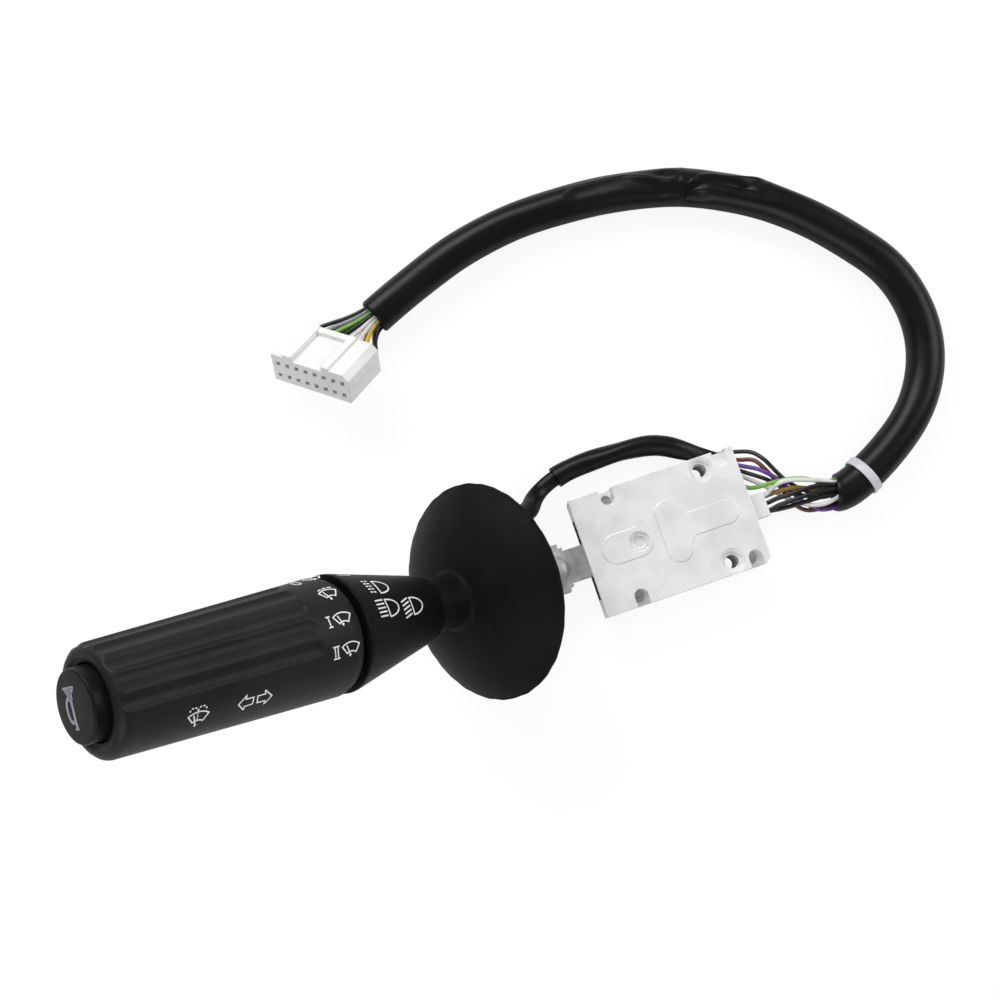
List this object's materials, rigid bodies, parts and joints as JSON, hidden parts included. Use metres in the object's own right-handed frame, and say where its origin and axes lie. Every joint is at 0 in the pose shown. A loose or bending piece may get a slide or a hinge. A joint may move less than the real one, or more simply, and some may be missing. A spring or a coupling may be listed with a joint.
{
  "type": "combination stalk switch",
  "caption": "Lever-operated combination switch: die-cast block, fluted rotary barrel with end button, rubber dome shield, and a sleeved harness with a connector.",
  "frame": {"origin": "midway between the two fixing holes, on the mounting face at the back of the switch block", "axes": "+X from the lever towards the harness end, +Y across the block, +Z out of the zinc face"},
  "size_m": [0.3326, 0.1867, 0.161],
  "materials": {
    "zinc": "cast, matt",
    "black_plastic": "fine grain",
    "base_plastic": "moulded",
    "shield_rubber": "smooth",
    "steel": "plain",
    "spring_steel": "drawn wire",
    "contact_brass": "plain",
    "white_plastic": "natural",
    "button_black": "fine grain",
    "sleeve_vinyl": "soft vinyl",
    "tie_grey": "vinyl",
    "wire_bundle": "mixed insulation",
    "plug_white": "moulded",
    "plug_grey": "moulded",
    "track_nylon": "natural"
  },
  "bodies": {
    "housing": {"die_cast_housing": "zinc", "contact_base": "base_plastic", "base_rivets": "steel", "turn_pivot_pin": "steel", "turn_contact_strips": "contact_brass", "turn_detent_track": "track_nylon", "wire_holder": "white_plastic", "loom_sleeve": "sleeve_vinyl", "lever_lead_sleeve": "sleeve_vinyl", "lead_wires": "wire_bundle", "holder_wires": "wire_bundle", "tie_ring": "tie_grey", "connector_housing": "plug_white", "connector_terminals": "contact_brass", "connector_lock": "plug_white", "cavity_plug": "plug_grey", "connector_wires": "wire_bundle"},
    "rotor": {"turn_rotor": "track_nylon", "tilt_pin": "steel", "turn_detent_plunger": "steel", "turn_detent_spring": "spring_steel", "turn_contact_bridge": "contact_brass"},
    "lever": {"lever_root": "zinc", "root_set_screw": "steel", "lever_tube": "steel", "lead_grommet": "sleeve_vinyl", "dust_shield": "shield_rubber", "lever_cone": "black_plastic", "switch_core": "white_plastic", "washer_spring": "spring_steel", "washer_contact_leaf": "contact_brass", "core_circlip": "spring_steel", "horn_contact_plate": "contact_brass", "horn_spring": "spring_steel"},
    "slider": {"washer_slider": "white_plastic", "wiper_detent_ball": "steel", "wiper_detent_spring": "spring_steel", "wiper_contact_brush": "contact_brass"},
    "barrel": {"wiper_barrel": "black_plastic", "barrel_retaining_ring": "spring_steel", "wiper_detent_ring": "white_plastic"},
    "horn": {"horn_button": "button_black", "horn_contact_pin": "contact_brass"}
  },
  "joints": [
    {"name": "turn_signal", "type": "hinge", "parent": "housing", "child": "rotor", "pos_m": [-0.0311, 0, 0.01], "axis": [0, 0, 1], "range_deg": [-12, 12], "deforming": ["lever_lead_sleeve"]},
    {"name": "headlamp_tilt", "type": "hinge", "parent": "rotor", "child": "lever", "pos_m": [-0.041, 0, 0.01], "axis": [0, 1, 0], "range_deg": [-6, 7], "deforming": ["lever_lead_sleeve"]},
    {"name": "washer_push", "type": "slide", "parent": "lever", "child": "slider", "axis": [0.729, 0, -0.6845], "range_m": [0, 0.0015], "stiffness_N_per_m": 1000, "springref_m": -0.003, "deforming": ["washer_spring"]},
    {"name": "wiper_turn", "type": "hinge", "parent": "slider", "child": "barrel", "pos_m": [-0.062, 0, 0.01], "axis": [-0.729, 0, 0.6845], "range_deg": [0, 90]},
    {"name": "horn_push", "type": "slide", "parent": "slider", "child": "horn", "axis": [0.729, 0, -0.6845], "range_m": [0, 0.002], "stiffness_N_per_m": 800, "springref_m": -0.003, "deforming": ["horn_spring"]}
  ]
}
